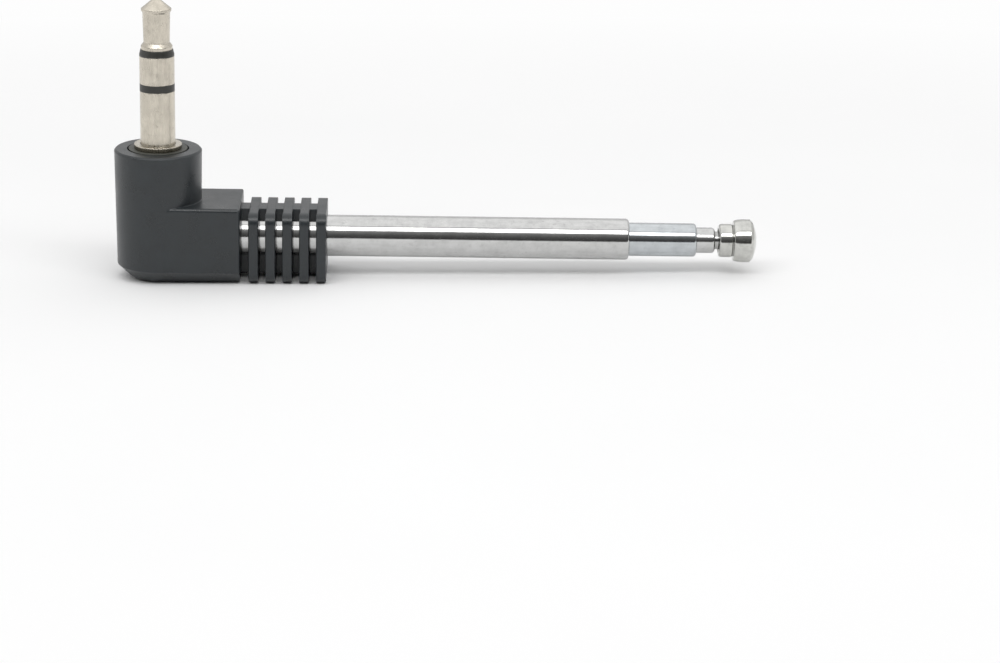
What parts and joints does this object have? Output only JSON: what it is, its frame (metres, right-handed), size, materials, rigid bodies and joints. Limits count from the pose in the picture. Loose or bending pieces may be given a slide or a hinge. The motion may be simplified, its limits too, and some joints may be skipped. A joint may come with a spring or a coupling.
{
  "type": "plug-in radio antenna",
  "caption": "Telescopic rod antenna on a right-angle three-contact audio plug, with a slotted strain relief and a turned end knob.",
  "frame": {"origin": "centre of the plug's shoulder: the plug's axis at the upper face of its flange, where the socket's face meets it", "axes": "+Z along the plug towards its tip, +X along the telescopic rod towards its knob, Y across the housing"},
  "size_m": [0.0652, 0.0088, 0.0284],
  "materials": {
    "contact_metal": "nickel plate, warm and satin",
    "contact_insulation": "black moulded insulation",
    "tag_brass": "stamped or turned brass",
    "washer_fibre": "brown fibre",
    "bare_wire": "copper wire",
    "lead_sleeve": "red insulation",
    "solder": "solder",
    "inner_plastic": "dark moulded plastic",
    "housing_plastic": "charcoal moulded plastic, satin",
    "tube_1_chrome": "chrome plate",
    "tube_2_chrome": "chrome plate, slightly blue",
    "tube_3_chrome": "chrome plate",
    "rod_steel": "bright drawn rod",
    "knob_chrome": "turned and plated",
    "spring_bronze": "phosphor bronze sheet"
  },
  "bodies": {
    "plug": {"jack_tip": "contact_metal", "tip_insulator": "contact_insulation", "jack_ring": "contact_metal", "sleeve_insulator": "contact_insulation", "jack_sleeve": "contact_metal", "sleeve_tag": "tag_brass", "upper_washer": "washer_fibre", "ring_tag": "tag_brass", "lower_washer": "washer_fibre", "tip_tag": "tag_brass", "lead_wire": "bare_wire", "lead_insulation": "lead_sleeve", "tag_solder": "solder", "tail_solder": "solder", "inner_mould": "inner_plastic", "housing": "housing_plastic", "foot_plug": "tag_brass", "tube_1": "tube_1_chrome"},
    "section_2": {"tube_2": "tube_2_chrome", "spring_2": "spring_bronze"},
    "section_3": {"tube_3": "tube_3_chrome", "spring_3": "spring_bronze"},
    "section_4": {"rod_4": "rod_steel", "spring_4": "spring_bronze", "knob": "knob_chrome"}
  },
  "joints": [
    {"name": "slide_2", "type": "slide", "parent": "plug", "child": "section_2", "axis": [1, 0, 0], "range_m": [0, 0.0246]},
    {"name": "slide_3", "type": "slide", "parent": "section_2", "child": "section_3", "axis": [1, 0, 0], "range_m": [0, 0.0288]},
    {"name": "slide_4", "type": "slide", "parent": "section_3", "child": "section_4", "axis": [1, 0, 0], "range_m": [0, 0.0238]}
  ]
}
